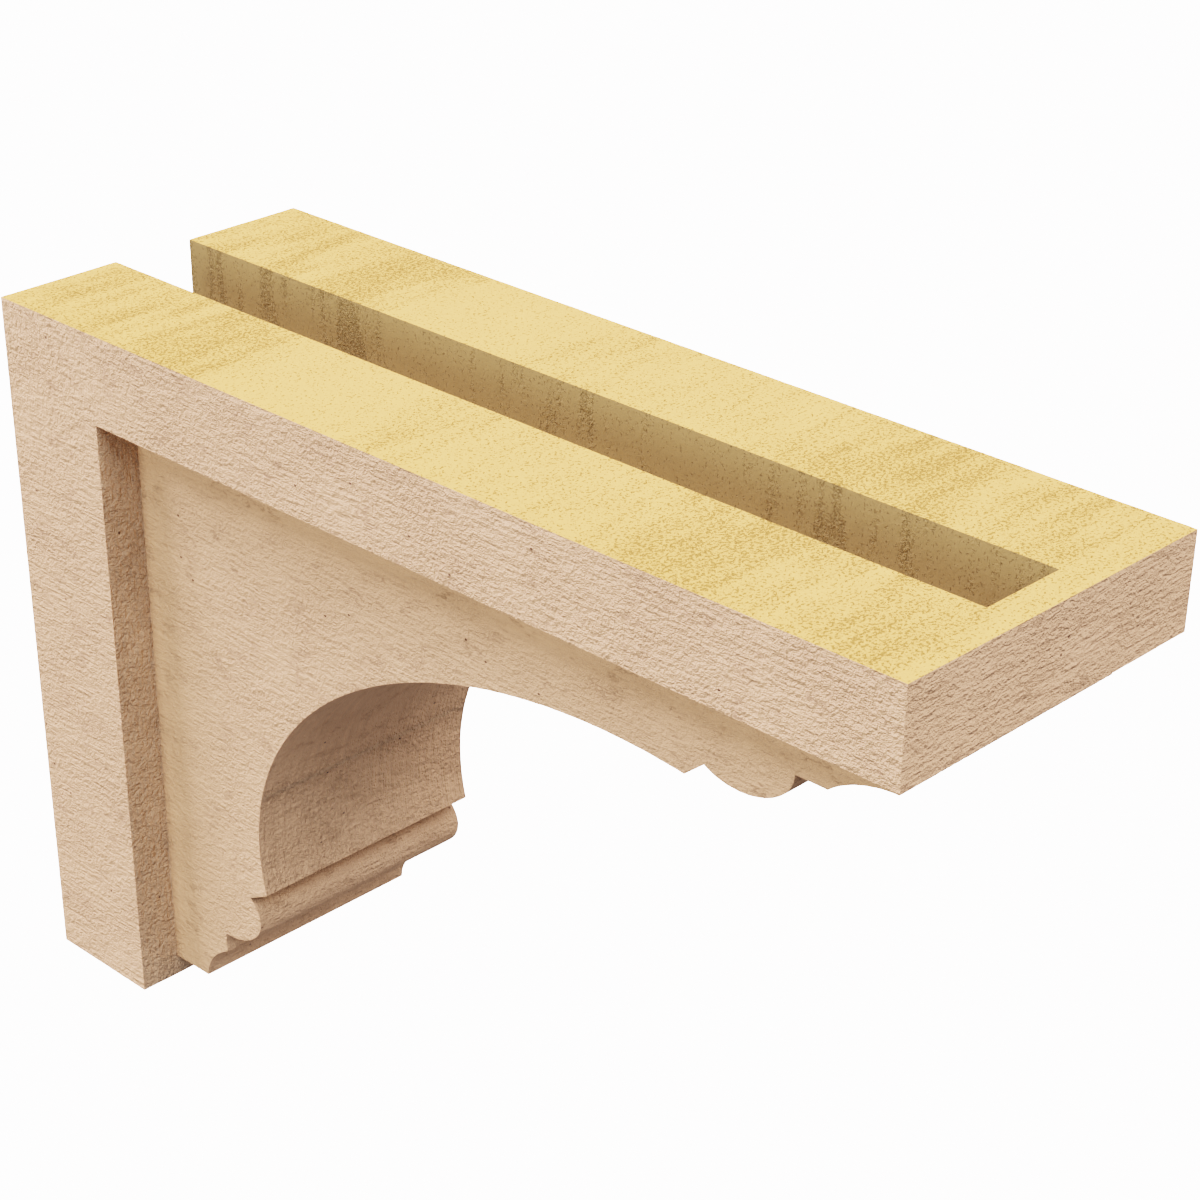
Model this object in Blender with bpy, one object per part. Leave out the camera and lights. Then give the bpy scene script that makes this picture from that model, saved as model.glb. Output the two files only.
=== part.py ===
"""A wall corbel: an L-shaped arm and leg with an arched brace between them, moulded as one piece of foam.

Metres, +Z up. The origin is the middle of the plain back, the face that goes against the wall.
The arm reaches forward along -Y, and +X is on the right when the corbel is seen from the front.
"""

import math

import bmesh
import bpy

INCH = 0.0254

# Overall size.
WIDTH = 8 * INCH
PROJECTION = 24 * INCH
HEIGHT = 16 * INCH

# The side view is drawn on a square of 16 units, with the arm's top and the wall as its edges.
# One unit is a sixteenth of the height going down, and a sixteenth of the projection going forward,
# so that the brace is the same at its two ends on the square and stretched on the finished corbel.
# A point there is (forward, down), from the corner where the top meets the wall.
SIDE = 16.0
UNIT_FORWARD = PROJECTION / SIDE
UNIT_DOWN = HEIGHT / SIDE

# The arm and the leg, in units.
MEMBER = 2.0

# The brace is narrower than the arm and stops short of the arm's nose and the leg's foot.
BRACE_WIDTH = 6 * INCH
BRACE_END = SIDE - 0.5
BRACE_ROOT = MEMBER / 2  # how far into the arm and the leg the brace starts, so that they join

# The outline of the brace's front end, in units. The lower end is the same, turned about the diagonal.
ARCH_CENTRE = 11.128
ARCH_RADIUS = 6.94
ARCH_OVERRUN = 10.0  # degrees that the arch goes on past its highest point, to its tip
BEAD_CENTRE_FORWARD = 13.18
BEAD_RADIUS = 0.84
BEAD_START = 130.0  # degrees, where the short slant from the arch's tip meets the bead
FILLET_DOWN = 3.27
COVE_CENTRE = (15.55, 4.08)
COVE_RADIUS = 1.325

ARCH_STEPS = 40
BEAD_STEPS = 16
COVE_STEPS = 10

# The slot in the top, open at the wall, which slides over a bar fixed to the wall.
SLOT_WIDTH = 2 * INCH
SLOT_DEPTH = 1.75 * INCH
SLOT_END = SIDE - 0.5
CUTTER_SPARE = 1 * INCH  # how far the slot's cutter stands out past the top and the back

PRIMED_TAN = (0.66, 0.50, 0.36, 1.0)
FOAM_YELLOW = (0.82, 0.65, 0.32, 1.0)


def clear_scene():
    for item in list(bpy.data.objects):
        bpy.data.objects.remove(item, do_unlink=True)


def new_collection(name):
    collection = bpy.data.collections.new(name)
    bpy.context.scene.collection.children.link(collection)
    return collection


def new_material(name, colour, roughness):
    material = bpy.data.materials.new(name)
    material.use_nodes = True
    shader = material.node_tree.nodes["Principled BSDF"]
    shader.inputs["Base Color"].default_value = colour
    shader.inputs["Roughness"].default_value = roughness
    shader.inputs["Metallic"].default_value = 0.0
    material.diffuse_color = colour
    return material


def arc(centre, radius, start, end, steps):
    """Points on a circle, with angles in degrees: 0 points forward, 90 points down."""
    angles = (math.radians(start + (end - start) * i / steps) for i in range(steps + 1))
    return [(centre[0] + radius * math.cos(a), centre[1] + radius * math.sin(a)) for a in angles]


def front_end():
    """The brace's lower edge, from the middle of the arch to the top of its front end."""
    middle = (ARCH_CENTRE, ARCH_CENTRE)
    arch = arc(middle, ARCH_RADIUS, 225.0, 270.0 + ARCH_OVERRUN, ARCH_STEPS)
    bead = arc((BEAD_CENTRE_FORWARD, FILLET_DOWN), BEAD_RADIUS, BEAD_START, 0.0, BEAD_STEPS)
    cove_start = 180.0 + math.degrees(math.asin((COVE_CENTRE[1] - FILLET_DOWN) / COVE_RADIUS))
    cove_end = 180.0 + math.degrees(math.acos((COVE_CENTRE[0] - BRACE_END) / COVE_RADIUS))
    cove = arc(COVE_CENTRE, COVE_RADIUS, cove_start, cove_end, COVE_STEPS)
    return arch + bead + cove + [(BRACE_END, BRACE_ROOT)]


def brace_outline():
    front = front_end()
    lower = [(down, forward) for forward, down in reversed(front[1:])]
    return [(BRACE_ROOT, BRACE_ROOT)] + lower + front


def frame_outline():
    return [(0, 0), (0, SIDE), (MEMBER, SIDE), (MEMBER, MEMBER), (SIDE, MEMBER), (SIDE, 0)]


def side_panel(name, outline, width, material, collection):
    """A mesh of the given width, centred on x = 0, whose side view is the outline."""
    curve = bpy.data.curves.new(name, "CURVE")
    curve.dimensions = "2D"
    curve.fill_mode = "BOTH"
    curve.extrude = width / 2
    spline = curve.splines.new("POLY")
    spline.points.add(len(outline) - 1)
    for point, (forward, down) in zip(spline.points, outline):
        point.co = (forward * UNIT_FORWARD, -down * UNIT_DOWN, 0, 1)
    spline.use_cyclic_u = True

    drawn = bpy.data.objects.new(name + " outline", curve)
    bpy.context.scene.collection.objects.link(drawn)
    drawn.location = (0, 0, HEIGHT / 2)
    drawn.rotation_euler = (math.radians(90), 0, math.radians(-90))
    bpy.context.view_layer.update()
    evaluated = drawn.evaluated_get(bpy.context.evaluated_depsgraph_get())
    mesh = bpy.data.meshes.new_from_object(evaluated)
    mesh.name = name
    placement = drawn.matrix_world.copy()
    bpy.data.objects.remove(drawn, do_unlink=True)

    weld_caps(mesh)
    mesh.materials.clear()
    mesh.materials.append(material)
    panel = bpy.data.objects.new(name, mesh)
    panel.matrix_world = placement
    collection.objects.link(panel)
    return panel


def weld_caps(mesh):
    shape = bmesh.new()
    shape.from_mesh(mesh)
    bmesh.ops.remove_doubles(shape, verts=shape.verts, dist=1e-6)
    shape.to_mesh(mesh)
    shape.free()
    mesh.shade_smooth()
    mesh.set_sharp_from_angle(angle=math.radians(20))


def slot_block(material, collection):
    """The block that cuts the slot, from past the back to the slot's front end."""
    front = SLOT_END * UNIT_FORWARD
    bpy.ops.mesh.primitive_cube_add(size=1)
    block = bpy.context.object
    block.name = "slot cutter"
    block.scale = (SLOT_WIDTH, front + CUTTER_SPARE, SLOT_DEPTH + CUTTER_SPARE)
    block.location = (0, (CUTTER_SPARE - front) / 2, (HEIGHT - SLOT_DEPTH + CUTTER_SPARE) / 2)
    block.data.materials.append(material)
    for holder in list(block.users_collection):
        holder.objects.unlink(block)
    collection.objects.link(block)
    return block


def combine(body, other, operation):
    other.hide_render = True
    other.display_type = "WIRE"
    step = body.modifiers.new(operation.lower() + " " + other.name, "BOOLEAN")
    step.operation = operation
    step.solver = "EXACT"
    step.material_mode = "TRANSFER"
    step.object = other


def paint_raw_faces(body, material):
    """The top and the back have no primer, so they show the bare foam."""
    body.data.materials.append(material)
    turn = body.matrix_world.to_3x3()
    for face in body.data.polygons:
        normal = turn @ face.normal
        middle = body.matrix_world @ face.center
        on_top = normal.z > 0.9 and middle.z > 0.49 * HEIGHT
        on_back = normal.y > 0.9 and middle.y > -0.01 * PROJECTION
        if on_top or on_back:
            face.material_index = 1


def build_corbel():
    clear_scene()
    parts = new_collection("corbel")
    helpers = new_collection("cutters and joined shapes")
    primed = new_material("primed skin", PRIMED_TAN, 0.85)
    foam = new_material("raw foam", FOAM_YELLOW, 0.8)

    corbel = side_panel("corbel", frame_outline(), WIDTH, primed, parts)
    paint_raw_faces(corbel, foam)
    brace = side_panel("arched brace", brace_outline(), BRACE_WIDTH, primed, helpers)
    slot = slot_block(foam, helpers)
    combine(corbel, brace, "UNION")
    combine(corbel, slot, "DIFFERENCE")


build_corbel()
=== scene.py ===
# %% [markdown]
# # A rough-sawn corbel
#
# A corbel is a bracket that carries a shelf, a beam or an eave off a wall. This one is moulded in
# stiff foam: an arm and a leg in one L, and an arched brace between them. Its outside has a tan
# primed skin that copies rough-sawn timber, and its top shows the bare yellow foam, with a slot
# that slides over a bar on the wall.
#
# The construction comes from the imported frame. This script gives it its surface, cell by cell.

# %% Load the frame
import math

import bmesh
import bpy
import numpy as np
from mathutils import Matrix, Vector
from mathutils.geometry import delaunay_2d_cdt
from mathutils.kdtree import KDTree


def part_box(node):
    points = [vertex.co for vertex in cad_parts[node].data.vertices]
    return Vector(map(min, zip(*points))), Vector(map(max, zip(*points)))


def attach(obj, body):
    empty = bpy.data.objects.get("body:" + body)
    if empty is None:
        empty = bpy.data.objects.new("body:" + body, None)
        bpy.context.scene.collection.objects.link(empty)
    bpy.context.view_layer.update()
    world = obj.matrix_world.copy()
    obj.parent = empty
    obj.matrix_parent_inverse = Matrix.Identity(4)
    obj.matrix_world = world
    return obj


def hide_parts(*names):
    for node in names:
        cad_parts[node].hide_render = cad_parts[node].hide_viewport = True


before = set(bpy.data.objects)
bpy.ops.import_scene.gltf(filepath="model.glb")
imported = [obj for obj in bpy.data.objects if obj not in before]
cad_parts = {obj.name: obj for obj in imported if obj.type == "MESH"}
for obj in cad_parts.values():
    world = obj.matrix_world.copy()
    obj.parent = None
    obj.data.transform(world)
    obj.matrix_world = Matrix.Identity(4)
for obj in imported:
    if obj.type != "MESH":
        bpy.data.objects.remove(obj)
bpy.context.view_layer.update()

# %% [markdown]
# ## Sizes
#
# The corbel's side view is drawn on a square of 16 units, measured forward from the wall and down
# from the top. The square is then stretched to the real projection. On the square the brace has
# two equal ends, which is how its mouldings were designed, so one list of sizes serves both.

# %% Sizes from the frame
SIDE = 16.0
low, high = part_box("corbel")
TOP = high.z
UNIT_FORWARD = (high.y - low.y) / SIDE
UNIT_DOWN = (high.z - low.z) / SIDE
WIDTH = high.x - low.x

INCH = 0.0254
MEMBER = 2.0  # the arm's and the leg's thickness, in units
BRACE_WIDTH = 6 * INCH
BRACE_END = SIDE - 0.5  # half a unit short of the nose and of the foot
SLOT_WIDTH = 2 * INCH
SLOT_DEPTH = 1.75 * INCH / UNIT_DOWN
SLOT_END = SIDE - 0.5

ARCH_CENTRE = (11.128, 11.128)
ARCH_RADIUS = 6.94
ARCH_OVERRUN = 10.0  # degrees that the arch goes on past its highest point
BEAD_CENTRE = (13.18, 3.27)
BEAD_RADIUS = 0.84
BEAD_START = 130.0  # degrees, where the slant from the arch's tip meets the bead
COVE_CENTRE = (15.55, 4.08)
COVE_RADIUS = 1.325
print(f"corbel {WIDTH:.4f} wide, unit {UNIT_FORWARD:.4f} forward and {UNIT_DOWN:.4f} down")

# %% [markdown]
# ## The surface as a set of sheets
#
# Displacement needs many small faces, laid evenly. A subdivision would round the corners, and a
# remesh would spend as many faces on the flat back as on the grained sides. So the surface is laid
# out like the pattern of a paper model: one flat sheet for each face of the corbel. A Delaunay
# triangulation fills each sheet, with a spacing that suits it, and neighbouring sheets share the
# points of their common edge, so that they close when the pattern is glued together.

# %% Places on the corbel
def place(x, forward, down):
    """The 3-D point for a sideways place in metres and a place on the side view's square."""
    return (x, -forward * UNIT_FORWARD, TOP - down * UNIT_DOWN)


def arc(centre, radius, start, end):
    """A piece of the outline: a function of t from 0 to 1. Angle 0 points forward and 90 down."""
    def at(t):
        angle = math.radians(start + (end - start) * t)
        return centre[0] + radius * math.cos(angle), centre[1] + radius * math.sin(angle)
    return at


def line(a, b):
    return lambda t: (a[0] + (b[0] - a[0]) * t, a[1] + (b[1] - a[1]) * t)


def turned_over(piece):
    """The same piece at the brace's lower end: forward and down change places."""
    return lambda t: piece(1 - t)[::-1]


# %% The brace's moulded edge
cove_start = 180 + math.degrees(math.asin((COVE_CENTRE[1] - BEAD_CENTRE[1]) / COVE_RADIUS))
cove_end = 180 + math.degrees(math.acos((COVE_CENTRE[0] - BRACE_END) / COVE_RADIUS))
bead = arc(BEAD_CENTRE, BEAD_RADIUS, BEAD_START, 0)
cove = arc(COVE_CENTRE, COVE_RADIUS, cove_start, cove_end)
arch_tip = arc(ARCH_CENTRE, ARCH_RADIUS, 225, 270 + ARCH_OVERRUN)(1)

front_end = {
    "slant": line(arch_tip, bead(0)),
    "bead": bead,
    "fillet": line(bead(1), cove(0)),
    "cove": cove,
    "end": line(cove(1), (BRACE_END, MEMBER)),
}
edge = [("lower " + name, turned_over(piece)) for name, piece in reversed(front_end.items())]
edge += [("arch", arc(ARCH_CENTRE, ARCH_RADIUS, 180 - ARCH_OVERRUN, 270 + ARCH_OVERRUN))]
edge += [("front " + name, piece) for name, piece in front_end.items()]
print("moulded edge:", [name for name, piece in edge])

# %% [markdown]
# A sheet's border is walked from corner to corner. Each stretch is cut into equal steps, counted
# from its own length, so two sheets that meet there cut it in the same places.

# %% Borders
STEP = 0.0023  # metres between the points of a border, and inside a grained sheet
FLAT_STEP = 0.012  # metres inside a sheet of bare foam, which is nearly flat
CLEAR_OF_BORDER = 0.6  # in steps: how near inner points come to the border's own
SAME_POINT = 1e-9
INSIDE_ONLY = 1  # tells the triangulation to fill the border and nothing else


def length_of(piece, samples=64):
    points = [Vector(place(0, *piece(i / samples))) for i in range(samples + 1)]
    return sum((b - a).length for a, b in zip(points, points[1:]))


def steps_along(piece):
    return max(1, round(length_of(piece) / STEP))


def walk(corners):
    """Points along a closed border of straight stretches, without repeating the corners."""
    points = []
    for a, b in zip(corners, corners[1:] + corners[:1]):
        a, b = np.array(a), np.array(b)
        count = max(1, round(float(np.linalg.norm(b - a)) / STEP))
        points += [a + (b - a) * i / count for i in range(count)]
    return points


# %% Filling a sheet
def inner_points(border, step):
    """A triangular grid of points inside the border, clear of the border's own points."""
    a, b = border, np.roll(border, -1, axis=0)
    near = KDTree(len(border))
    for i, point in enumerate(border):
        near.insert((*point, 0), i)
    near.balance()
    (left, bottom), (right, top) = border.min(0), border.max(0)
    points = []
    for row, y in enumerate(np.arange(bottom, top, step * math.sqrt(3) / 2)):
        cuts = (a[:, 1] > y) != (b[:, 1] > y)
        p, q = a[cuts], b[cuts]
        crossings = np.sort(p[:, 0] + (y - p[:, 1]) * (q[:, 0] - p[:, 0]) / (q[:, 1] - p[:, 1]))
        grid = np.arange(left + (row % 2) * step / 2, right, step)
        inside = np.searchsorted(crossings, grid) % 2 == 1
        points += [(x, y) for x in grid[inside] if near.find((x, y, 0))[2] > step * CLEAR_OF_BORDER]
    return points


def fill(border, step):
    """Triangles over a flat border, with points a step apart inside it."""
    points = [Vector(p) for p in border + inner_points(np.array(border), step)]
    made = delaunay_2d_cdt(points, [], [list(range(len(border)))], INSIDE_ONLY, SAME_POINT)
    return np.array(made[0]), np.array(made[2])


# %% [markdown]
# A flat sheet lies square to one axis. Its pattern is drawn in the two other axes, in X, Y, Z
# order, and each point also gets a grain coordinate: metres along the sawn grain, then across it.
# Three more values go with it for the finishes to read. Weave says how far crossed lines replace
# the grain, depth says how rough the surface is, and where it is highest it also picks a lighter
# painted tone, as painted light. The third value says how much painted shade the surface takes,
# and in the slot it also thins out the foam's specks and gathers them in streaks.

# %% Sheets
SHEET_SHIFT = 1.7  # metres, many times the size of any mark
sheets = []


def add_sheet(name, points, triangles, grain, weave, depth, skin, dullness=0.0):
    """Keeps a filled sheet. Each is shifted along its grain, so that no two share a pattern."""
    grain = np.array(grain) + (SHEET_SHIFT * len(sheets), 0.0)
    sheets.append(dict(name=name, points=np.array(points), triangles=np.array(triangles),
                       grain=grain, weave=weave, depth=depth, skin=skin, dullness=dullness))


def flat_sheet(name, axis, at, outward, border, along,
               skin=True, weave=0.0, depth=1.0, dullness=0.0):
    """A sheet at one value of an axis, facing outward. `along` names the axis of its grain."""
    plane, triangles = fill(border, STEP if skin else FLAT_STEP)
    fixed = "xyz".index(axis)
    points = np.insert(plane, fixed, at, axis=1)
    faces_up = -1 if axis == "y" else 1
    if outward != faces_up:
        triangles = triangles[:, ::-1]
    first = "xyz".index(along)
    second = 3 - fixed - first
    if callable(weave):
        weave = weave(points)
    add_sheet(name, points, triangles, points[:, [first, second]], weave, depth, skin, dullness)


def rectangle(u0, u1, v0, v1):
    return walk([(u0, v0), (u1, v0), (u1, v1), (u0, v1)])


def notched(u0, u1, v0, v1, notch_u0, notch_u1, notch_v):
    """A rectangle with a notch cut into its v1 edge, down to notch_v."""
    return walk([(u0, v0), (u1, v0), (u1, v1), (notch_u1, v1), (notch_u1, notch_v),
                 (notch_u0, notch_v), (notch_u0, v1), (u0, v1)])


# %% [markdown]
# The arm and the leg make one L. It could be cut from a block, but a sheet for each face lets the
# grain run its own way: forward along the sides, across the nose, and down the leg's front, which
# is the roughest. The underside and the leg's front are left open where the brace joins them.

# %% The arm and the leg
half, half_brace, half_slot = WIDTH / 2, BRACE_WIDTH / 2, SLOT_WIDTH / 2
leg_front, nose = -MEMBER * UNIT_FORWARD, -SIDE * UNIT_FORWARD
brace_front, slot_front = -BRACE_END * UNIT_FORWARD, -SLOT_END * UNIT_FORWARD
underside, foot = TOP - MEMBER * UNIT_DOWN, TOP - SIDE * UNIT_DOWN
brace_foot, slot_floor = TOP - BRACE_END * UNIT_DOWN, TOP - SLOT_DEPTH * UNIT_DOWN

WEAVE_REACH = 0.13  # metres
WEAVE_CURVE = 0.7


def corner_weave(points):
    """The skin looks woven at the top corner by the wall, and fades to plain grain."""
    away = np.hypot(points[:, 1], points[:, 2] - TOP)
    return (1 - away / WEAVE_REACH).clip(0, 1) ** WEAVE_CURVE


l_shape = walk([(0, TOP), (0, foot), (leg_front, foot),
                (leg_front, underside), (nose, underside), (nose, TOP)])
for side in (-1, 1):
    flat_sheet("side", "x", side * half, side, l_shape, "y", weave=corner_weave)
flat_sheet("nose", "y", nose, -1, rectangle(-half, half, underside, TOP), "x", depth=1.05)
flat_sheet("foot", "z", foot, -1, rectangle(-half, half, leg_front, 0), "x")
beside_arm_brace = walk([(-half, nose), (half, nose), (half, leg_front), (half_brace, leg_front),
                         (half_brace, brace_front), (-half_brace, brace_front),
                         (-half_brace, leg_front), (-half, leg_front)])
flat_sheet("arm underside", "z", underside, -1, beside_arm_brace, "y")
beside_leg_brace = notched(-half, half, foot, underside, -half_brace, half_brace, brace_foot)
flat_sheet("leg front", "y", leg_front, -1, beside_leg_brace, "z", weave=0.1, depth=2.0)
print("arm and leg:", sum(len(s["triangles"]) for s in sheets), "triangles")

# %% [markdown]
# The top, the back and the slot have no skin. They are filled with larger triangles, because a cut
# face is nearly flat. The slot's faces get painted shade, the walls and the end in full and the
# floor in part.

# %% The bare foam: top, back and slot
top_border = notched(-half, half, nose, 0, -half_slot, half_slot, slot_front)
flat_sheet("top", "z", TOP, 1, top_border, "x", skin=False)
back_border = notched(-half, half, foot, TOP, -half_slot, half_slot, slot_floor)
flat_sheet("back", "y", 0.0, 1, back_border, "x", skin=False)
# Painted shade: the slot's walls and end take it in full, its floor 0.6 of it.
wall_border = rectangle(slot_front, 0, slot_floor, TOP)
for side in (-1, 1):
    flat_sheet("slot wall", "x", side * half_slot, -side, wall_border, "z",
               skin=False, dullness=1.0)
end_border = rectangle(-half_slot, half_slot, slot_floor, TOP)
flat_sheet("slot end", "y", slot_front, 1, end_border, "x", skin=False, dullness=1.0)
floor_border = rectangle(-half_slot, half_slot, slot_front, 0)
flat_sheet("slot floor", "z", slot_floor, 1, floor_border, "x", skin=False, dullness=0.6)
print("with the foam faces:", sum(len(s["triangles"]) for s in sheets), "triangles")

# %% [markdown]
# The brace is a thick plate with a moulded edge. Its sides take their border from the edge's
# pieces, in the same steps as the ribbon that will cover the edge, so that the two close.

# %% The brace's sides
def on_side(forward, down):
    return place(0, forward, down)[1:]


brace_border = [on_side(*piece(i / steps_along(piece)))
                for name, piece in edge for i in range(steps_along(piece))]
straight = walk([on_side(BRACE_END, MEMBER), on_side(MEMBER, MEMBER), on_side(MEMBER, BRACE_END)])
closing = steps_along(line((MEMBER, BRACE_END), (BRACE_END, MEMBER)))
brace_border += straight[:-closing]
for side in (-1, 1):
    flat_sheet("brace side", "x", side * half_brace, side, brace_border, "y", depth=0.85)
print("with the brace's sides:", sum(len(s["triangles"]) for s in sheets), "triangles")

# %% [markdown]
# The moulded edge of the brace is a ribbon, bent along its length only. Each moulding is filled as
# a flat rectangle, length by width, and every point is then rolled onto the moulding's curve.

# %% The brace's moulded ribbon
MOULDING_WEAVE, MOULDING_DEPTH = 0.3, 1.1
ARCH_WEAVE = 1.0
CALM_DEPTH, END_DEPTH, BAND_DEPTH = 0.55, 0.70, 0.9
CALM_SHARE, FADE_SHARE = 0.35, 0.5  # of half the arch, from its middle
BAND_AT, BAND_WIDTH = 0.185, 0.012  # of the whole arch, from its lower end
# How far the painted shade in the grooves by the beads reaches.
GROOVE_SHADE_REACH = 0.004  # metres


def arch_finish(share):
    """The arch is cross-sawn: calm in its middle, rough near both ends and in a narrow band."""
    near_end = ((np.abs(2 * share - 1) - CALM_SHARE) / FADE_SHARE).clip(0, 1)
    band = np.exp(-((share - BAND_AT) / BAND_WIDTH) ** 2)
    return ARCH_WEAVE, CALM_DEPTH + END_DEPTH * near_end + BAND_DEPTH * band


def painted_groove_shade(points):
    """Painted shade in the groove between each bead and the arch, which fades out within
    millimetres.
    """
    grooves = np.array([place(0, *bead(0)), place(0, *bead(0)[::-1])])
    apart = np.array(points)[:, None, 1:] - grooves[None, :, 1:]
    away = np.hypot(apart[..., 0], apart[..., 1]).min(1)
    return np.exp(-away / GROOVE_SHADE_REACH)


def rolled_sheet(name, piece):
    length = length_of(piece)
    plane, triangles = fill(rectangle(0, length, -half_brace, half_brace), STEP)
    points = [place(x, *piece(s / length)) for s, x in plane]
    if name == "arch":
        weave, depth = arch_finish(plane[:, 0] / length)
        dullness = 0.0
    else:
        weave, depth = MOULDING_WEAVE, MOULDING_DEPTH
        # The mouldings take painted shade in the grooves by the beads.
        dullness = painted_groove_shade(points)
    add_sheet(name, points, triangles[:, ::-1], plane[:, ::-1], weave, depth, True, dullness)


for name, piece in edge:
    rolled_sheet(name, piece)
print(len(sheets), "sheets,", sum(len(s["triangles"]) for s in sheets), "triangles")

# %% [markdown]
# The sheets go into one mesh in a single step, as arrays. Their grain and other values are kept on
# face corners and not on points, because a point on an edge belongs to sheets that differ.

# %% Glue the pattern into one mesh
def joined_pattern():
    """One mesh of all sheets, not yet glued, with the grain and other values on face corners."""
    starts = np.cumsum([0] + [len(s["points"]) for s in sheets])
    points = np.concatenate([s["points"] for s in sheets])
    triangles = np.concatenate([s["triangles"] + start for s, start in zip(sheets, starts)])
    mesh = bpy.data.meshes.new("corbel pattern")
    mesh.from_pydata(points.tolist(), [], triangles.tolist())
    corners = triangles.ravel()
    grain = np.concatenate([s["grain"] for s in sheets])[corners]
    mesh.uv_layers.new(name="grain").uv.foreach_set("vector", grain.ravel().astype(np.float32))
    for name in ("weave", "depth", "dullness"):
        values = np.concatenate([np.broadcast_to(s[name], len(s["points"])) for s in sheets])
        attribute = mesh.attributes.new(name, "FLOAT", "CORNER")
        attribute.data.foreach_set("value", values[corners].astype(np.float32))
    skin = np.concatenate([np.full(len(s["triangles"]), s["skin"]) for s in sheets])
    mesh.attributes.new("skin", "BOOLEAN", "FACE").data.foreach_set("value", skin)
    return mesh


corbel = bpy.data.objects.new("rough_sawn_corbel", joined_pattern())
bpy.context.scene.collection.objects.link(corbel)
print("pattern:", len(corbel.data.vertices), "points,", len(corbel.data.polygons), "triangles")

# %% [markdown]
# ## One way of writing nodes
#
# Geometry and shading both use node trees here. A small class wraps a socket, so that sums and
# products can be written as usual, and each one adds its Math node. Any other node comes from one
# method, which takes the node's type, its settings, and the values or links of its sockets.

# %% Nodes as expressions
class Value:
    """A node's output, with arithmetic."""

    def __init__(self, nodes, socket):
        self.nodes, self.socket = nodes, socket

    def __add__(self, other): return self.nodes.math("ADD", self, other)
    def __radd__(self, other): return self.nodes.math("ADD", other, self)
    def __sub__(self, other): return self.nodes.math("SUBTRACT", self, other)
    def __rsub__(self, other): return self.nodes.math("SUBTRACT", other, self)
    def __mul__(self, other): return self.nodes.math("MULTIPLY", self, other)
    def __rmul__(self, other): return self.nodes.math("MULTIPLY", other, self)
    def __pow__(self, other): return self.nodes.math("POWER", self, other)


class Nodes:
    """Adds nodes to one tree."""

    def __init__(self, tree):
        self.tree = tree
        tree.nodes.clear()

    def add(self, kind, settings=None, sockets=None, output=0):
        node = self.tree.nodes.new(kind)
        for name, value in (settings or {}).items():
            if name == "stops":
                self.set_stops(node.color_ramp, value)
            else:
                setattr(node, name, value)
        for key, value in (sockets or {}).items():
            if isinstance(value, Value):
                self.tree.links.new(value.socket, node.inputs[key])
            else:
                node.inputs[key].default_value = value
        return Value(self, node.outputs[output]) if len(node.outputs) else node

    def set_stops(self, ramp, stops):
        while len(ramp.elements) < len(stops):
            ramp.elements.new(0.5)
        for element, (position, level) in zip(ramp.elements, stops):
            element.position, element.color = position, (level, level, level, 1)

    def math(self, operation, *terms):
        return self.add("ShaderNodeMath", {"operation": operation}, dict(enumerate(terms)))

    def between(self, value, low, high):
        """0 at low, 1 at high, smooth in the middle and flat outside."""
        limits = {"Value": value, "From Min": low, "From Max": high}
        return self.add("ShaderNodeMapRange", {"interpolation_type": "SMOOTHSTEP"}, limits)

    def stretched(self, vector, sizes, shift=(0, 0, 0)):
        """The vector divided by a size for each axis, so that noise of scale 1 gets that size."""
        scale = tuple(1 / size for size in sizes)
        sockets = {0: vector, 1: scale, 2: shift}
        return self.add("ShaderNodeVectorMath", {"operation": "MULTIPLY_ADD"}, sockets)

    def noise(self, vector, detail=2.0, roughness=0.5, dimensions="3D"):
        sockets = {"Vector": vector, "Scale": 1.0, "Detail": detail, "Roughness": roughness}
        return self.add("ShaderNodeTexNoise", {"noise_dimensions": dimensions}, sockets)

    def colour_mix(self, factor, a, b, blend="MIX"):
        settings = {"data_type": "RGBA", "blend_type": blend, "clamp_factor": False}
        a, b = (tone if isinstance(tone, Value) else (*tone, 1) for tone in (a, b))
        return self.add("ShaderNodeMix", settings, {0: factor, 6: a, 7: b}, 2)


# %% [markdown]
# ## The primed skin
#
# The skin is cast against a mould of rough-sawn timber and sprayed with a tan primer. Close up it
# shows grit, short fibres torn by the saw, faint lines that follow the grain, a few cracks, and now
# and then a pit. All of it reads the grain coordinate, in metres along and across the grain. By the
# corner at the wall, and in the arch, a second set of lines crosses the first. The leg's front is
# coarser than the rest, and it takes a lighter, greyer tone as painted light. The grooves of the
# moulded edge are darkened as painted shade.

# %% Primed skin
SKIN_TONE = (0.680, 0.479, 0.337)
# A lighter, greyer copy of the skin tone for the leg's front: painted light.
COARSE_PAINTED_LIGHT_TONE = (0.722, 0.540, 0.397)
SKIN_DARK = (0.16, 0.11, 0.085)

# The size of each mark along the grain and across it, in metres. The third number has no use.
GRIT = (0.0030, 0.0029, 1)
CROSS_GRIT = (0.0028, 0.0042, 1)
FIBRE = (0.0110, 0.0026, 1)
SAW_LINE = (0.022, 0.0022, 1)
CROSS_LINE = (0.0024, 0.045, 1)
LUMP = (0.009, 0.007, 1)
CRACK = (0.016, 0.0042, 1)
CRACKED_PLACE = (0.022, 0.012, 1)
PIT = (0.0045, 0.0035, 1)
ROUGH_PATCH = (0.05, 0.03, 1)
MOTTLE = (0.06, 0.03, 1)

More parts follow.
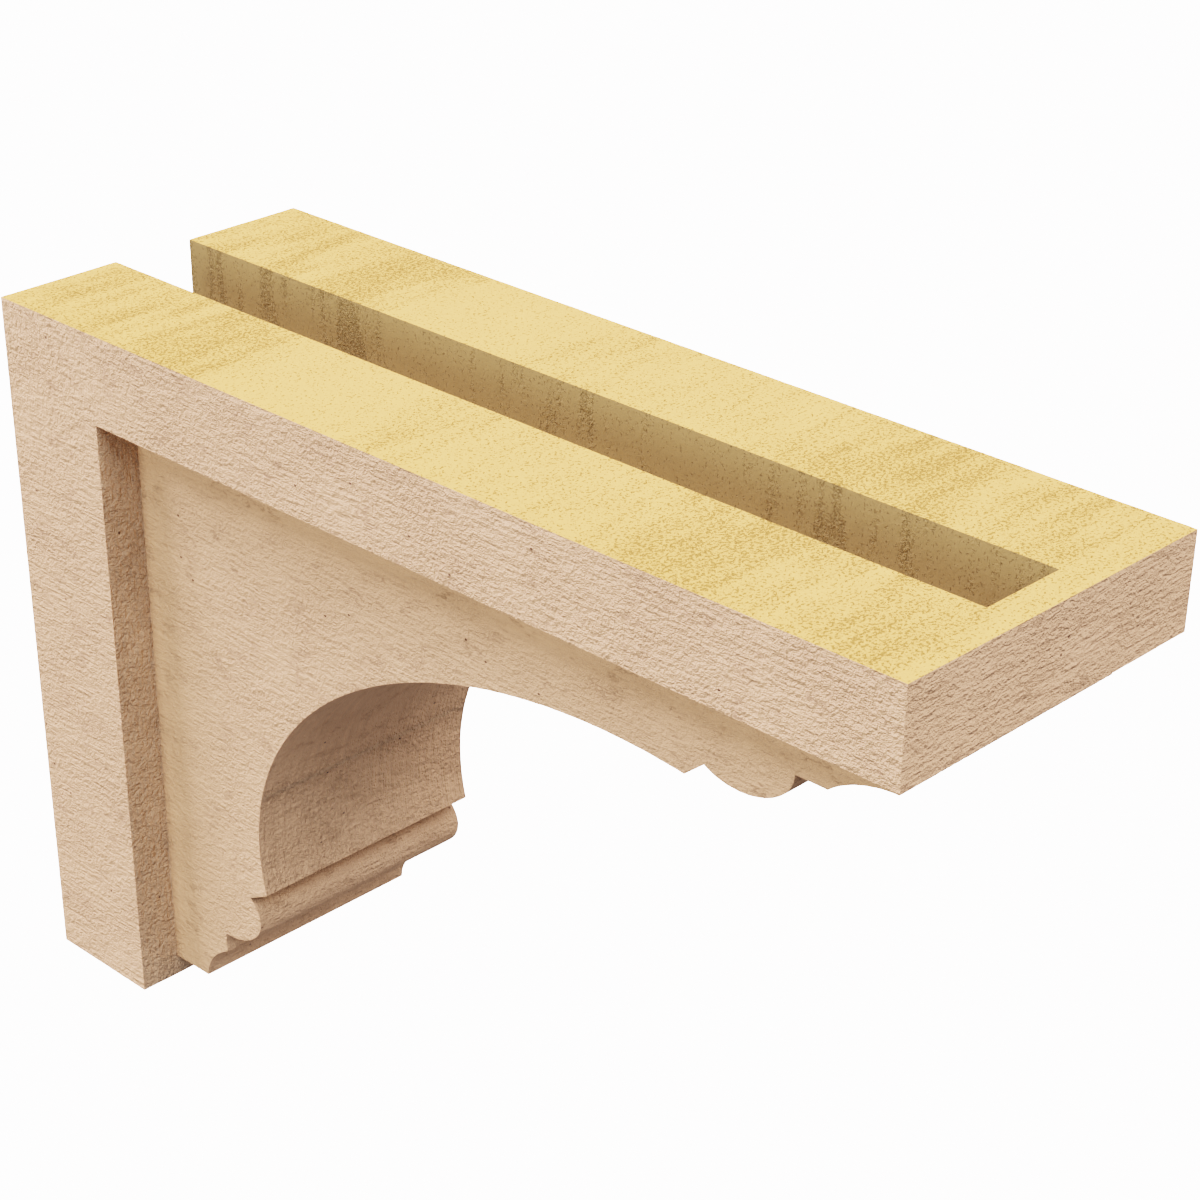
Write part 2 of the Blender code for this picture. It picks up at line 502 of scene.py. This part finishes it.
# The height of each mark in metres, and what the coarsest places add to it.
GRIT_HEIGHT, COARSE_GRIT = 0.0024, 0.0009
LUMP_HEIGHT, COARSE_LUMP = 0.0011, 0.0016
FIBRE_HEIGHT, SAWN_HEIGHT = 0.0007, 0.0010
CRACK_DEPTH, PIT_DEPTH = 0.0005, 0.0008
COARSE_FROM, COARSE_TO = 1.5, 2.0
MATT_SPECULAR = 0.2


def new_material(name):
    material = bpy.data.materials.new(name)
    material.use_nodes = True
    return material, Nodes(material.node_tree)


def shaded(nodes, tone, lightness):
    """A tone made lighter or darker by a value."""
    grey = nodes.add("ShaderNodeCombineXYZ", {}, {0: lightness, 1: lightness, 2: lightness})
    return nodes.colour_mix(1.0, tone, grey, "MULTIPLY")


def finish_material(nodes, colour, roughness, height):
    """The surface shader, with a bump whose height is in metres."""
    bump = nodes.add("ShaderNodeBump", {}, {"Strength": 1.0, "Distance": 1.0, "Height": height})
    surface = nodes.add("ShaderNodeBsdfPrincipled", {}, {
        "Base Color": colour, "Roughness": roughness, "Specular IOR Level": MATT_SPECULAR,
        "Normal": bump})
    nodes.add("ShaderNodeOutputMaterial", {}, {"Surface": surface})


primed_skin, skin = new_material("primed_skin")
grain = skin.add("ShaderNodeUVMap", {"uv_map": "grain"})
weave = skin.add("ShaderNodeAttribute", {"attribute_name": "weave"}, {}, "Fac")
depth = skin.add("ShaderNodeAttribute", {"attribute_name": "depth"}, {}, "Fac")


def along_grain(size, offset, detail=2.0, roughness=0.5):
    """Noise around 0 on the grain coordinates, stretched to the given size in metres."""
    return skin.noise(skin.stretched(grain, size, offset), detail, roughness, "2D") - 0.5


grit = (along_grain(GRIT, (4.4, 2.9, 0), 2, 0.78) * (1 - weave * 0.75)
        + along_grain(CROSS_GRIT, (6.1, 0.7, 0), 2, 0.78) * weave * 1.15)
fibre = along_grain(FIBRE, (0, 0, 0), 3, 0.6) * (1 - weave * 0.8)
lump = along_grain(LUMP, (8.3, 4.1, 0), 2)
sawn = (along_grain(SAW_LINE, (3.1, 7.7, 0), 2) * (1 - weave * 0.5)
        + along_grain(CROSS_LINE, (9.2, 1.3, 0), 2) * weave * 1.6)
crack_path = skin.math("ABSOLUTE", along_grain(CRACK, (6.5, 2.5, 0), 3, 0.6))
cracked_place = along_grain(CRACKED_PLACE, (1.5, 8.5, 0), 1)
crack = (1 - skin.between(crack_path, 0.0, 0.025)) * skin.between(cracked_place, 0.08, 0.18)
pit = skin.between(along_grain(PIT, (4.0, 6.0, 0), 0), 0.438, 0.450)
rough_patch = 1 + along_grain(ROUGH_PATCH, (7.0, 1.0, 0), 2) * 1.4
# The leg's front: rougher grit and lumps, and painted light in its tone.
coarse_and_painted_light = skin.between(depth, COARSE_FROM, COARSE_TO)
marks = (grit * rough_patch * (GRIT_HEIGHT + coarse_and_painted_light * COARSE_GRIT)
         + fibre * FIBRE_HEIGHT + sawn * SAWN_HEIGHT)
height = marks * depth - crack * CRACK_DEPTH - pit * PIT_DEPTH
height = height + lump * (LUMP_HEIGHT * depth + COARSE_LUMP * coarse_and_painted_light)

mottle = along_grain(MOTTLE, (2.0, 5.0, 0), 2)
groove_shade = skin.add("ShaderNodeAttribute", {"attribute_name": "dullness"}, {}, "Fac")
lightness = 1 + fibre * 0.12 + sawn * 0.16 + mottle * 0.04
# Painted shade: the grooves by the beads are darkened.
lightness = lightness + weave * 0.045 - crack * 0.13 - groove_shade * 0.64
# Painted light: the leg's front takes the lighter, greyer tone.
tone = skin.colour_mix(coarse_and_painted_light, SKIN_TONE, COARSE_PAINTED_LIGHT_TONE)
colour = skin.colour_mix(pit * 0.9, shaded(skin, tone, lightness), SKIN_DARK)
finish_material(skin, colour, 0.85, height)
print("primed skin:", len(primed_skin.node_tree.nodes), "nodes")

# %% [markdown]
# ## The bare foam
#
# The top, the back and the slot are cut foam. It is yellow and fine-pored, with brown specks that
# lie in bands across the corbel. The specks run through the solid, so they read object
# coordinates, and the same bands show on the top and on the slot's walls. A ramp along the
# projection, from the wall at 0 to the nose at 1, says how crowded the specks are. On the routed
# walls they gather in streaks, with calmer foam between. The slot's faces take darker copies of
# the foam's tone and of its specks, as painted shade.

# %% Bare foam
FOAM_TONE = (0.712, 0.450, 0.149)
FOAM_SPECK = (0.265, 0.188, 0.052)
# Darker copies of the foam's tone and specks, painted as shade in the slot.
SLOT_SHADE_TONE = (0.321, 0.257, 0.132)
SLOT_SHADE_SPECK = (0.178, 0.144, 0.072)
CROWDING = [(0.0, 0.45), (0.04, 0.74), (0.075, 0.48), (0.115, 0.78), (0.145, 0.44), (0.19, 0.82),
            (0.245, 0.78), (0.29, 0.15), (0.40, 0.05), (0.45, 0.50), (0.53, 0.35), (0.66, 0.35),
            (0.73, 0.65), (0.80, 0.85), (0.87, 0.40), (0.93, 0.75), (1.0, 0.40)]

# The size of each mark across the corbel, along it and up, in metres.
SPECK = (0.0018, 0.0015, 0.0018)
PORE = (0.0034, 0.0030, 0.0034)
SMEAR = (0.030, 0.012, 0.030)
PATCH = (0.050, 0.010, 0.050)
WANDER = (0.08, 0.05, 0.08)
WANDER_REACH = 0.07

bare_foam, foam = new_material("raw_foam")
spot = foam.add("ShaderNodeTexCoord", {}, {}, "Object")
# How much painted shade a face takes. In the slot it also thins out and gathers the specks.
routed_and_shaded = foam.add("ShaderNodeAttribute", {"attribute_name": "dullness"}, {}, "Fac")


def through_foam(size, offset, detail=2.0, roughness=0.5):
    """Noise around 0 that runs through the solid, stretched to the given size in metres."""
    return foam.noise(foam.stretched(spot, size, offset), detail, roughness) - 0.5


from_wall = foam.add("ShaderNodeSeparateXYZ", {}, {0: spot}, "Y") * (1 / low.y)
ramp_at = from_wall + through_foam(WANDER, (2.0, 4.0, 2.0), 2) * (WANDER_REACH / low.y)
crowding = foam.add("ShaderNodeValToRGB", {"stops": CROWDING}, {0: ramp_at})
patches = through_foam(PATCH, (3.0, 1.0, 6.0), 3) * (1.4 + routed_and_shaded * 2.2)
calmer = routed_and_shaded * (0.16 + from_wall * 0.28)
crowd = foam.between(crowding + patches - calmer, 0.1, 1.1)
speck_noise = foam.noise(foam.stretched(spot, SPECK, (5.0, 2.0, 8.0)), 2, 0.7)
speck = foam.between(speck_noise + crowd * 0.12, 0.605, 0.675)
pore = through_foam(PORE, (7.0, 3.0, 1.0), 3, 0.75)
smear = through_foam(SMEAR, (1.0, 6.0, 3.0), 3)

# Painted shade: the slot's faces take the darker tone and the darker specks.
tone = foam.colour_mix(routed_and_shaded, FOAM_TONE, SLOT_SHADE_TONE)
speck_tone = foam.colour_mix(routed_and_shaded, FOAM_SPECK, SLOT_SHADE_SPECK)
base = shaded(foam, tone, 1 + pore * 0.09 + smear * 0.10 - crowd * 0.015)
colour = foam.colour_mix(speck * (0.80 - routed_and_shaded * 0.30), base, speck_tone)
finish_material(foam, colour, 0.9, pore * (0.0003 + crowd * 0.0018) - speck * 0.0004)
print("bare foam:", len(bare_foam.node_tree.nodes), "nodes")

# %% [markdown]
# ## Relief, made with Geometry Nodes
#
# The mould's saw marks are real relief: low waves along the grain that break the light at a low
# angle. The tree below lifts each sheet's points along their normals by a stretched noise, and
# lets it fade out towards the sheet's rim, so that the rims still meet. It then glues the rims,
# wears the edges back a little, unevenly, and gives each face its finish.

# %% The relief tree
GLUE_REACH = 1e-5
WORN_FROM = math.radians(30)  # the least bend that counts as an edge
NICKS_PER_METRE = 60.0


def relief_tree():
    tree = bpy.data.node_groups.new("rough-sawn relief", "GeometryNodeTree")
    nodes = Nodes(tree)
    sockets = [("Pattern", "Geometry"), ("Relief", "Float"), ("Fade at rim", "Float"),
               ("Wave along grain", "Float"), ("Wave across grain", "Float"),
               ("Edge wear", "Float"), ("Seed", "Float"),
               ("Skin finish", "Material"), ("Foam finish", "Material")]
    for name, kind in sockets:
        tree.interface.new_socket(name, in_out="INPUT", socket_type="NodeSocket" + kind)
    tree.interface.new_socket("Corbel", in_out="OUTPUT", socket_type="NodeSocketGeometry")
    given = tree.nodes.new("NodeGroupInput")
    pattern, relief, fade, along, across, wear, seed, skin_finish, foam_finish = (
        Value(nodes, socket) for socket in list(given.outputs)[:len(sockets)])

    faces_at_edge = nodes.add("GeometryNodeInputMeshEdgeNeighbors")
    rim = nodes.add("GeometryNodeSeparateGeometry", {"domain": "EDGE"}, {
        "Geometry": pattern, "Selection": nodes.math("COMPARE", faces_at_edge, 1.0, 0.5)})
    from_rim = nodes.add("GeometryNodeProximity", {"target_element": "EDGES"}, {0: rim}, "Distance")
    grain, depth, is_skin = (
        nodes.add("GeometryNodeInputNamedAttribute", {"data_type": kind}, {"Name": name})
        for name, kind in (("grain", "FLOAT_VECTOR"), ("depth", "FLOAT"), ("skin", "BOOLEAN")))
    sizes = nodes.add("ShaderNodeCombineXYZ", {}, {0: along, 1: across, 2: 1.0})
    wave_at = nodes.add("ShaderNodeVectorMath", {"operation": "DIVIDE"}, {0: grain, 1: sizes})
    wave_at = nodes.add("ShaderNodeVectorMath", {"operation": "ADD"}, {
        0: wave_at, 1: nodes.add("ShaderNodeCombineXYZ", {}, {2: seed})})
    wave = (nodes.noise(wave_at, 3, 0.6) - 0.5) * 2
    lift = wave * relief * depth * nodes.between(from_rim, 0.0, fade)
    normal = nodes.add("GeometryNodeInputNormal")
    offset = nodes.add("ShaderNodeVectorMath", {"operation": "SCALE"}, {0: normal, "Scale": lift})
    lifted = nodes.add("GeometryNodeSetPosition", {}, {"Geometry": pattern, "Offset": offset})

    glued = nodes.add("GeometryNodeMergeByDistance", {}, {
        "Geometry": lifted, "Distance": GLUE_REACH})
    bend = nodes.add("GeometryNodeInputMeshEdgeAngle")
    place_at = nodes.add("ShaderNodeVectorMath", {"operation": "SCALE"}, {
        0: nodes.add("GeometryNodeInputPosition"), "Scale": NICKS_PER_METRE})
    nick = nodes.noise(place_at, 3, 0.6) ** 2 * -4 * wear
    at_edge = nodes.math("GREATER_THAN", bend, WORN_FROM)
    push = nodes.add("ShaderNodeVectorMath", {"operation": "SCALE"}, {0: normal, "Scale": nick})
    worn = nodes.add("GeometryNodeSetPosition", {}, {
        "Geometry": glued, "Selection": at_edge, "Offset": push})

    real = nodes.add("GeometryNodeRealizeInstances", {}, {"Geometry": worn})
    coated = nodes.add("GeometryNodeSetMaterial", {}, {"Geometry": real, "Material": skin_finish})
    is_foam = nodes.math("SUBTRACT", 1.0, is_skin)
    cut = nodes.add("GeometryNodeSetMaterial", {}, {
        "Geometry": coated, "Selection": is_foam, "Material": foam_finish})
    nodes.add("NodeGroupOutput", {}, {0: cut})
    return tree


# %% [markdown]
# The tree runs once, as a modifier, and its result becomes the piece's own mesh, so nothing live is
# left on it. The piece then rides on the corbel's one body and stands in for the plain solid.

# %% The finished corbel
RELIEF = {"Relief": 0.00018, "Fade at rim": 0.003, "Wave along grain": 0.030,
          "Wave across grain": 0.012, "Edge wear": 0.00008, "Seed": 4.0,
          "Skin finish": primed_skin, "Foam finish": bare_foam}
SMOOTH_UP_TO = math.radians(40)


def made_plain(piece, tree, values):
    """Runs the tree on the piece and keeps its result as the piece's own mesh."""
    modifier = piece.modifiers.new(tree.name, "NODES")
    modifier.node_group = tree
    for item in tree.interface.items_tree:
        if item.name in values:
            modifier[item.identifier] = values[item.name]
    evaluated = piece.evaluated_get(bpy.context.evaluated_depsgraph_get())
    mesh = bpy.data.meshes.new_from_object(evaluated)
    piece.modifiers.remove(modifier)
    piece.data = mesh


made_plain(corbel, relief_tree(), RELIEF)
shell = bmesh.new()
shell.from_mesh(corbel.data)
bmesh.ops.recalc_face_normals(shell, faces=shell.faces)
open_edges = sum(not edge.is_manifold for edge in shell.edges)
volume = shell.calc_volume()
shell.to_mesh(corbel.data)
shell.free()
corbel.data.shade_smooth()
corbel.data.set_sharp_from_angle(angle=SMOOTH_UP_TO)
print(f"corbel: {len(corbel.data.polygons)} triangles, {open_edges} open edges, "
      f"{volume:.6f} cubic metres")

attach(corbel, "root")
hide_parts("corbel")

# %% [markdown]
# ## Camera, light and floor
#
# The camera stands before the corbel, to its left and above it, with a long lens. Its small shift
# sets the corbel where the photograph has it. The light is a studio's: two soft lights shine down
# over the top of the wall, four weaker ones fill from the left, the front and the right, and the
# surroundings add a little. The colours make up for the film-like tone curve.

# %% Camera
camera = bpy.data.objects.new("camera", bpy.data.cameras.new("camera"))
bpy.context.scene.collection.objects.link(camera)
camera.location = (-0.89450, -1.19930, 0.73037)
middle = Vector((0, low.y / 2, 0))
towards = middle - camera.location
camera.rotation_euler = towards.to_track_quat("-Z", "Y").to_euler()
camera.data.lens = 84.25
camera.data.sensor_width = 36
camera.data.shift_x = 0.0463
camera.data.shift_y = 0.1382
bpy.context.scene.camera = camera
print("camera", [round(c, 3) for c in camera.location])

# %% Lights
def soft_sun(name, azimuth, elevation, spread, strength, colour):
    """A far soft light. Azimuth 0 comes from over the wall, 90 from its left. All in degrees."""
    light = bpy.data.lights.new(name, "SUN")
    light.angle = math.radians(spread)
    light.energy = math.pi * strength
    light.color = colour
    lamp = bpy.data.objects.new(name, light)
    bpy.context.scene.collection.objects.link(lamp)
    turn, rise = math.radians(azimuth), math.radians(elevation)
    away = Vector((-math.sin(turn) * math.cos(rise), math.cos(turn) * math.cos(rise),
                   math.sin(rise)))
    lamp.rotation_euler = (-away).to_track_quat("-Z", "Y").to_euler()


soft_sun("key light", 44, 42, 14, 0.51, (1.0, 0.77, 0.77))
soft_sun("light from over the wall", 20, 51, 20, 1.11, (1.0, 0.745, 0.80))
soft_sun("front fill", 180, 45, 40, 0.77, (1.0, 0.80, 0.68))
soft_sun("right fill", 225, 45, 40, 0.37, (1.0, 0.78, 0.71))
soft_sun("left fill", 90, 10, 30, 0.56, (1.0, 0.84, 0.64))
soft_sun("left front fill", 135, 45, 20, 0.19, (1.0, 1.0, 1.0))

# %% Floor and surroundings
PAPER_WHITE = 6.0
WORLD_LIGHT = (0.275, 0.243, 0.236)
FLOOR_LEVEL, FLOOR_REACH = -1.6, 20


def white_surroundings(seen_white, light):
    """A world that the camera sees as white, while it lights the corbel only weakly."""
    world = bpy.data.worlds.new("studio")
    bpy.context.scene.world = world
    world.use_nodes = True
    nodes = Nodes(world.node_tree)
    seen = nodes.add("ShaderNodeLightPath", {}, {}, "Is Camera Ray")
    colour = nodes.colour_mix(seen, light, (seen_white,) * 3)
    background = nodes.add("ShaderNodeBackground", {}, {"Color": colour})
    nodes.add("ShaderNodeOutputWorld", {}, {"Surface": background})


white_surroundings(PAPER_WHITE, WORLD_LIGHT)

floor_mesh = bpy.data.meshes.new("floor")
floor_corners = [(x * FLOOR_REACH, y * FLOOR_REACH, FLOOR_LEVEL)
                 for x, y in ((-1, -1), (1, -1), (1, 1), (-1, 1))]
floor_mesh.from_pydata(floor_corners, [], [(0, 1, 2, 3)])
floor = bpy.data.objects.new("floor", floor_mesh)
bpy.context.scene.collection.objects.link(floor)
pale, floor_nodes = new_material("pale_floor")
glow = floor_nodes.add("ShaderNodeBsdfPrincipled", {}, {
    "Base Color": (0.8, 0.8, 0.8, 1), "Roughness": 0.9,
    "Emission Color": (1, 1, 1, 1), "Emission Strength": PAPER_WHITE})
floor_nodes.add("ShaderNodeOutputMaterial", {}, {"Surface": glow})
floor_mesh.materials.append(pale)
for rays in ("diffuse", "glossy", "transmission", "volume_scatter", "shadow"):
    setattr(floor, "visible_" + rays, False)
bpy.context.scene.view_settings.view_transform = "Filmic"
bpy.context.scene.view_settings.look = "High Contrast"
print("lights and floor set")
